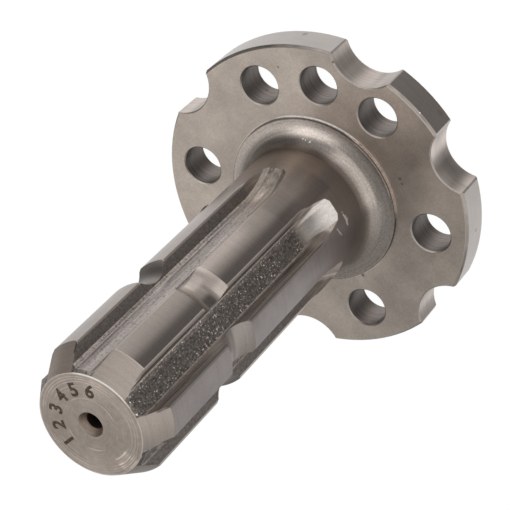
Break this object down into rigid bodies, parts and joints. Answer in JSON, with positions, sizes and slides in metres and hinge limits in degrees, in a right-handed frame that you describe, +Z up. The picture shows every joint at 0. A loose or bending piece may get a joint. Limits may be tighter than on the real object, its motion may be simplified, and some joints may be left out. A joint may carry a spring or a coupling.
{
  "type": "flanged splined drive shaft",
  "caption": "Stub drive shaft with straight-sided splines, run-outs, a locking groove and a scalloped, drilled mounting flange, turned and milled in one piece.",
  "frame": {"origin": "centre of the flange's back face, on the shaft's axis", "axes": "+Z up the shaft away from the flange; +X through the first scallop, which is the flange's line of symmetry, midway between two bolt holes"},
  "size_m": [0.0844, 0.086, 0.1164],
  "materials": {
    "machined_steel": "bare machined steel, turned and milled, satin with light handling marks"
  },
  "bodies": {
    "root": {"flanged_spline_shaft": "machined_steel"}
  },
  "joints": []
}
